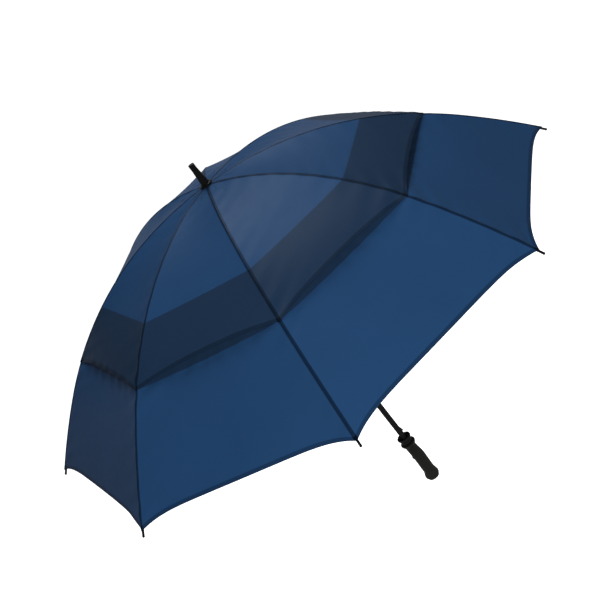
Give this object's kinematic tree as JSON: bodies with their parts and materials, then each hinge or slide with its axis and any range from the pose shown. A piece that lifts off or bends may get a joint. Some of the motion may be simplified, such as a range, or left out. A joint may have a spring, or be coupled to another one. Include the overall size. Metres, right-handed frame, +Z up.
{
  "type": "golf umbrella",
  "caption": "Open golf umbrella with a vented double canopy on sprung-bent ribs, a sliding runner, a plain tapered ferrule and a straight contoured hand grip.",
  "frame": {"origin": "on the shaft axis at the middle of the hand grip, where a hand holds it", "axes": "+Z up the shaft towards the ferrule, +X through rib 1 and the side of the shaft that has the catches"},
  "size_m": [1.3616, 1.3616, 1],
  "materials": {
    "shaft_black": "satin black glass-fibre tube",
    "rib_rod": "satin black glass-fibre rod",
    "black_plastic": "moulded black plastic",
    "joint_plastic": "moulded black plastic",
    "stretcher_metal": "black painted steel",
    "steel_wire": "bright wire",
    "spring_steel": "blued spring steel",
    "navy_cloth": "navy blue woven cloth",
    "ferrule_black": "satin black plastic",
    "handle_plastic": "satin black plastic",
    "grip_rubber": "soft black rubber"
  },
  "bodies": {
    "frame": {"shaft": "shaft_black", "crown": "black_plastic", "crown_wire": "steel_wire", "canopy_upper": "navy_cloth", "canopy_lower": "navy_cloth", "cap_ring": "black_plastic", "ferrule": "ferrule_black", "handle_cup": "handle_plastic", "handle_grip": "grip_rubber", "handle_end": "handle_plastic"},
    "runner": {"runner": "black_plastic", "runner_wire": "steel_wire"},
    "top_catch": {"top_catch": "spring_steel"},
    "bottom_catch": {"bottom_catch": "spring_steel"},
    "rib_1": {"rib_inner_1": "rib_rod", "rib_joint_1": "joint_plastic"},
    "rib_end_1": {"rib_outer_1": "rib_rod", "rib_tip_1": "joint_plastic"},
    "stretcher_1": {"stretcher_1": "stretcher_metal"},
    "rib_2": {"rib_inner_2": "rib_rod", "rib_joint_2": "joint_plastic"},
    "rib_end_2": {"rib_outer_2": "rib_rod", "rib_tip_2": "joint_plastic"},
    "stretcher_2": {"stretcher_2": "stretcher_metal"},
    "rib_3": {"rib_inner_3": "rib_rod", "rib_joint_3": "joint_plastic"},
    "rib_end_3": {"rib_outer_3": "rib_rod", "rib_tip_3": "joint_plastic"},
    "stretcher_3": {"stretcher_3": "stretcher_metal"},
    "rib_4": {"rib_inner_4": "rib_rod", "rib_joint_4": "joint_plastic"},
    "rib_end_4": {"rib_outer_4": "rib_rod", "rib_tip_4": "joint_plastic"},
    "stretcher_4": {"stretcher_4": "stretcher_metal"},
    "rib_5": {"rib_inner_5": "rib_rod", "rib_joint_5": "joint_plastic"},
    "rib_end_5": {"rib_outer_5": "rib_rod", "rib_tip_5": "joint_plastic"},
    "stretcher_5": {"stretcher_5": "stretcher_metal"},
    "rib_6": {"rib_inner_6": "rib_rod", "rib_joint_6": "joint_plastic"},
    "rib_end_6": {"rib_outer_6": "rib_rod", "rib_tip_6": "joint_plastic"},
    "stretcher_6": {"stretcher_6": "stretcher_metal"},
    "rib_7": {"rib_inner_7": "rib_rod", "rib_joint_7": "joint_plastic"},
    "rib_end_7": {"rib_outer_7": "rib_rod", "rib_tip_7": "joint_plastic"},
    "stretcher_7": {"stretcher_7": "stretcher_metal"},
    "rib_8": {"rib_inner_8": "rib_rod", "rib_joint_8": "joint_plastic"},
    "rib_end_8": {"rib_outer_8": "rib_rod", "rib_tip_8": "joint_plastic"},
    "stretcher_8": {"stretcher_8": "stretcher_metal"}
  },
  "joints": [
    {"name": "rib_1_fold", "type": "hinge", "parent": "frame", "child": "rib_1", "pos_m": [0.012, 0, 0.866], "axis": [0, 1, 0], "range_deg": [0, 72.5], "deforming": ["canopy_upper", "canopy_lower"]},
    {"name": "rib_1_flex", "type": "hinge", "parent": "rib_1", "child": "rib_end_1", "pos_m": [0.37543, 0, 0.77032], "axis": [0, 1, 0], "range_deg": [-22.18, 0]},
    {"name": "stretcher_1_turn", "type": "hinge", "parent": "rib_1", "child": "stretcher_1", "pos_m": [0.37267, 0, 0.76544], "axis": [0, 1, 0], "range_deg": [-145, 0]},
    {"name": "rib_2_fold", "type": "hinge", "parent": "frame", "child": "rib_2", "pos_m": [0.00849, 0.00849, 0.866], "axis": [-0.7071, 0.7071, 0], "range_deg": [0, 72.5]},
    {"name": "rib_2_flex", "type": "hinge", "parent": "rib_2", "child": "rib_end_2", "pos_m": [0.26547, 0.26547, 0.77032], "axis": [-0.7071, 0.7071, 0], "range_deg": [-22.18, 0]},
    {"name": "stretcher_2_turn", "type": "hinge", "parent": "rib_2", "child": "stretcher_2", "pos_m": [0.26352, 0.26352, 0.76544], "axis": [-0.7071, 0.7071, 0], "range_deg": [-145, 0]},
    {"name": "rib_3_fold", "type": "hinge", "parent": "frame", "child": "rib_3", "pos_m": [0, 0.012, 0.866], "axis": [-1, 0, 0], "range_deg": [0, 72.5]},
    {"name": "rib_3_flex", "type": "hinge", "parent": "rib_3", "child": "rib_end_3", "pos_m": [0, 0.37543, 0.77032], "axis": [-1, 0, 0], "range_deg": [-22.18, 0]},
    {"name": "stretcher_3_turn", "type": "hinge", "parent": "rib_3", "child": "stretcher_3", "pos_m": [0, 0.37267, 0.76544], "axis": [-1, 0, 0], "range_deg": [-145, 0]},
    {"name": "rib_4_fold", "type": "hinge", "parent": "frame", "child": "rib_4", "pos_m": [-0.00849, 0.00849, 0.866], "axis": [-0.7071, -0.7071, 0], "range_deg": [0, 72.5]},
    {"name": "rib_4_flex", "type": "hinge", "parent": "rib_4", "child": "rib_end_4", "pos_m": [-0.26547, 0.26547, 0.77032], "axis": [-0.7071, -0.7071, 0], "range_deg": [-22.18, 0]},
    {"name": "stretcher_4_turn", "type": "hinge", "parent": "rib_4", "child": "stretcher_4", "pos_m": [-0.26352, 0.26352, 0.76544], "axis": [-0.7071, -0.7071, 0], "range_deg": [-145, 0]},
    {"name": "rib_5_fold", "type": "hinge", "parent": "frame", "child": "rib_5", "pos_m": [-0.012, 0, 0.866], "axis": [0, -1, 0], "range_deg": [0, 72.5]},
    {"name": "rib_5_flex", "type": "hinge", "parent": "rib_5", "child": "rib_end_5", "pos_m": [-0.37543, 0, 0.77032], "axis": [0, -1, 0], "range_deg": [-22.18, 0]},
    {"name": "stretcher_5_turn", "type": "hinge", "parent": "rib_5", "child": "stretcher_5", "pos_m": [-0.37267, 0, 0.76544], "axis": [0, -1, 0], "range_deg": [-145, 0]},
    {"name": "rib_6_fold", "type": "hinge", "parent": "frame", "child": "rib_6", "pos_m": [-0.00849, -0.00849, 0.866], "axis": [0.7071, -0.7071, 0], "range_deg": [0, 72.5]},
    {"name": "rib_6_flex", "type": "hinge", "parent": "rib_6", "child": "rib_end_6", "pos_m": [-0.26547, -0.26547, 0.77032], "axis": [0.7071, -0.7071, 0], "range_deg": [-22.18, 0]},
    {"name": "stretcher_6_turn", "type": "hinge", "parent": "rib_6", "child": "stretcher_6", "pos_m": [-0.26352, -0.26352, 0.76544], "axis": [0.7071, -0.7071, 0], "range_deg": [-145, 0]},
    {"name": "rib_7_fold", "type": "hinge", "parent": "frame", "child": "rib_7", "pos_m": [0, -0.012, 0.866], "axis": [1, 0, 0], "range_deg": [0, 72.5]},
    {"name": "rib_7_flex", "type": "hinge", "parent": "rib_7", "child": "rib_end_7", "pos_m": [0, -0.37543, 0.77032], "axis": [1, 0, 0], "range_deg": [-22.18, 0]},
    {"name": "stretcher_7_turn", "type": "hinge", "parent": "rib_7", "child": "stretcher_7", "pos_m": [0, -0.37267, 0.76544], "axis": [1, 0, 0], "range_deg": [-145, 0]},
    {"name": "rib_8_fold", "type": "hinge", "parent": "frame", "child": "rib_8", "pos_m": [0.00849, -0.00849, 0.866], "axis": [0.7071, 0.7071, 0], "range_deg": [0, 72.5]},
    {"name": "rib_8_flex", "type": "hinge", "parent": "rib_8", "child": "rib_end_8", "pos_m": [0.26547, -0.26547, 0.77032], "axis": [0.7071, 0.7071, 0], "range_deg": [-22.18, 0]},
    {"name": "stretcher_8_turn", "type": "hinge", "parent": "rib_8", "child": "stretcher_8", "pos_m": [0.26352, -0.26352, 0.76544], "axis": [0.7071, 0.7071, 0], "range_deg": [-145, 0]},
    {"name": "runner_travel", "type": "hinge", "parent": "stretcher_1", "child": "runner", "pos_m": [0.012, 0, 0.66488], "axis": [0, 1, 0], "range_deg": [0, 72.5]},
    {"name": "top_catch_press", "type": "slide", "parent": "frame", "child": "top_catch", "axis": [-1, 0, 0], "range_m": [0, 0.003], "stiffness_N_per_m": 600},
    {"name": "bottom_catch_press", "type": "slide", "parent": "frame", "child": "bottom_catch", "axis": [-1, 0, 0], "range_m": [0, 0.003], "stiffness_N_per_m": 600}
  ],
  "couplings": [
    {"joint": "rib_1_flex", "follows": "rib_1_fold", "ratio": -0.306},
    {"joint": "stretcher_1_turn", "follows": "rib_1_fold", "ratio": -2},
    {"joint": "rib_2_fold", "follows": "rib_1_fold", "ratio": 1},
    {"joint": "rib_2_flex", "follows": "rib_1_fold", "ratio": -0.306},
    {"joint": "stretcher_2_turn", "follows": "rib_1_fold", "ratio": -2},
    {"joint": "rib_3_fold", "follows": "rib_1_fold", "ratio": 1},
    {"joint": "rib_3_flex", "follows": "rib_1_fold", "ratio": -0.306},
    {"joint": "stretcher_3_turn", "follows": "rib_1_fold", "ratio": -2},
    {"joint": "rib_4_fold", "follows": "rib_1_fold", "ratio": 1},
    {"joint": "rib_4_flex", "follows": "rib_1_fold", "ratio": -0.306},
    {"joint": "stretcher_4_turn", "follows": "rib_1_fold", "ratio": -2},
    {"joint": "rib_5_fold", "follows": "rib_1_fold", "ratio": 1},
    {"joint": "rib_5_flex", "follows": "rib_1_fold", "ratio": -0.306},
    {"joint": "stretcher_5_turn", "follows": "rib_1_fold", "ratio": -2},
    {"joint": "rib_6_fold", "follows": "rib_1_fold", "ratio": 1},
    {"joint": "rib_6_flex", "follows": "rib_1_fold", "ratio": -0.306},
    {"joint": "stretcher_6_turn", "follows": "rib_1_fold", "ratio": -2},
    {"joint": "rib_7_fold", "follows": "rib_1_fold", "ratio": 1},
    {"joint": "rib_7_flex", "follows": "rib_1_fold", "ratio": -0.306},
    {"joint": "stretcher_7_turn", "follows": "rib_1_fold", "ratio": -2},
    {"joint": "rib_8_fold", "follows": "rib_1_fold", "ratio": 1},
    {"joint": "rib_8_flex", "follows": "rib_1_fold", "ratio": -0.306},
    {"joint": "stretcher_8_turn", "follows": "rib_1_fold", "ratio": -2},
    {"joint": "runner_travel", "follows": "rib_1_fold", "ratio": 1}
  ]
}
